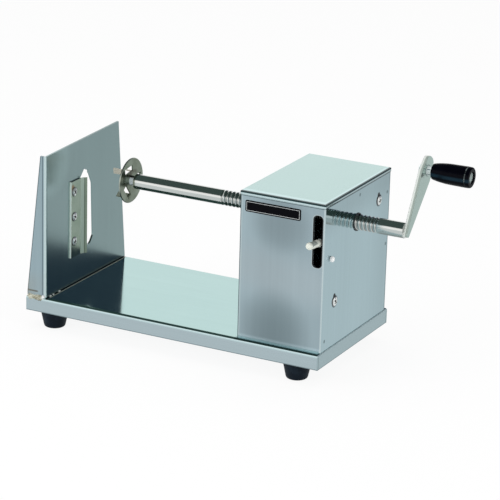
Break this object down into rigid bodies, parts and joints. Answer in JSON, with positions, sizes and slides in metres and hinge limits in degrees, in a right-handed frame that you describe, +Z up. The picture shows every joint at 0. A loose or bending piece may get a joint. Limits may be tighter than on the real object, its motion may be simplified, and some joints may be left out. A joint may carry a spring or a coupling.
{
  "type": "spiral potato cutter",
  "caption": "Hand cranked spiral potato cutter: a threaded shaft with a pronged disc drives a skewered potato into a fixed blade on a tray base.",
  "frame": {"origin": "middle of the footprint at rest, on the worktop under the feet", "axes": "+X along the shaft from the blade plate to the crank, +Y to the back, +Z up"},
  "size_m": [0.4068, 0.1641, 0.2008],
  "materials": {
    "arm_weld": "welded stainless",
    "base_tray": "satin stainless sheet",
    "blade": "ground blade steel",
    "blade_plate": "satin stainless sheet",
    "blade_screw": "bright stainless screw",
    "crank_arm": "satin stainless flat",
    "disc_hub": "polished stainless",
    "foot_rubber": "black moulded rubber",
    "grip": "black glossy phenolic plastic",
    "grip_end_cup": "bright stainless cup",
    "grip_spindle": "bright stainless",
    "guide_bush": "black nylon",
    "half_nut": "brass",
    "hidden_fastener": "zinc bright fastener",
    "housing_back_shell": "satin stainless sheet",
    "housing_bracket": "plain stainless angle",
    "housing_front_shell": "satin stainless sheet",
    "housing_lid": "bright satin stainless sheet",
    "lever_bar": "plain stainless flat",
    "lever_pin": "polished stainless pin",
    "lever_spring": "spring steel wire",
    "panel_screw": "bright stainless screw",
    "plate_weld": "rough welded stainless, straw tinted",
    "prong_disc": "satin stainless sheet",
    "screw_shaft": "polished stainless rod",
    "skewer_bush": "natural nylon",
    "spindle_nut": "bright stainless nut",
    "stop_rivet": "bright stainless rivet"
  },
  "bodies": {
    "frame": {"anchor_nut": "hidden_fastener", "anchor_screw": "panel_screw", "base_tray": "base_tray", "blade": "blade", "blade_nut_1": "hidden_fastener", "blade_nut_2": "hidden_fastener", "blade_nut_3": "hidden_fastener", "blade_plate": "blade_plate", "blade_screw_1": "blade_screw", "blade_screw_2": "blade_screw", "blade_screw_3": "blade_screw", "bracket_screw_back_1": "hidden_fastener", "bracket_screw_back_2": "hidden_fastener", "bracket_screw_front_1": "hidden_fastener", "bracket_screw_front_2": "hidden_fastener", "foot_back_left": "foot_rubber", "foot_back_right": "foot_rubber", "foot_front_left": "foot_rubber", "foot_front_right": "foot_rubber", "foot_nut_back_left": "hidden_fastener", "foot_nut_back_right": "hidden_fastener", "foot_nut_front_left": "hidden_fastener", "foot_nut_front_right": "hidden_fastener", "foot_screw_back_left": "hidden_fastener", "foot_screw_back_right": "hidden_fastener", "foot_screw_front_left": "hidden_fastener", "foot_screw_front_right": "hidden_fastener", "foot_washer_back_left": "hidden_fastener", "foot_washer_back_right": "hidden_fastener", "foot_washer_front_left": "hidden_fastener", "foot_washer_front_right": "hidden_fastener", "guide_bush_left": "guide_bush", "guide_bush_right": "guide_bush", "housing_back_shell": "housing_back_shell", "housing_bracket_back": "housing_bracket", "housing_bracket_front": "housing_bracket", "housing_front_shell": "housing_front_shell", "housing_lid": "housing_lid", "lever_spring": "lever_spring", "pivot_nut": "hidden_fastener", "pivot_screw": "panel_screw", "pivot_spacer": "hidden_fastener", "plate_weld": "plate_weld", "stop_rivet": "stop_rivet"},
    "carriage": {"skewer_bush": "skewer_bush"},
    "screw": {"screw_shaft": "screw_shaft", "disc_hub": "disc_hub", "prong_disc": "prong_disc", "crank_arm": "crank_arm", "arm_weld": "arm_weld", "grip_spindle": "grip_spindle", "spindle_nut_inner": "spindle_nut", "spindle_nut_outer": "spindle_nut"},
    "grip_body": {"grip": "grip", "grip_end_cup": "grip_end_cup"},
    "lever": {"lever_bar": "lever_bar", "half_nut": "half_nut", "half_nut_screw_1": "hidden_fastener", "half_nut_screw_2": "hidden_fastener", "lever_pin": "lever_pin"}
  },
  "joints": [
    {"name": "screw_slide", "type": "slide", "parent": "frame", "child": "carriage", "axis": [1, 0, 0], "range_m": [-0.029, 0.1201]},
    {"name": "crank_spin", "type": "hinge", "parent": "carriage", "child": "screw", "pos_m": [-0.12665, 0.007, 0.1392], "axis": [1, 0, 0], "range_deg": [-2601, 10800]},
    {"name": "grip_spin", "type": "hinge", "parent": "screw", "child": "grip_body", "pos_m": [0.16485, 0.04278, 0.18774], "axis": [1, 0, 0], "continuous": true},
    {"name": "lever_lift", "type": "hinge", "parent": "frame", "child": "lever", "pos_m": [0.10105, 0.053, 0.1476], "axis": [-1, 0, 0], "range_deg": [0, 11], "stiffness_Nm_per_rad": 1.2, "springref_deg": -21.2, "deforming": ["lever_spring"]}
  ],
  "couplings": [
    {"joint": "screw_slide", "follows": "crank_spin", "m_per_rad": 0.00063662}
  ]
}
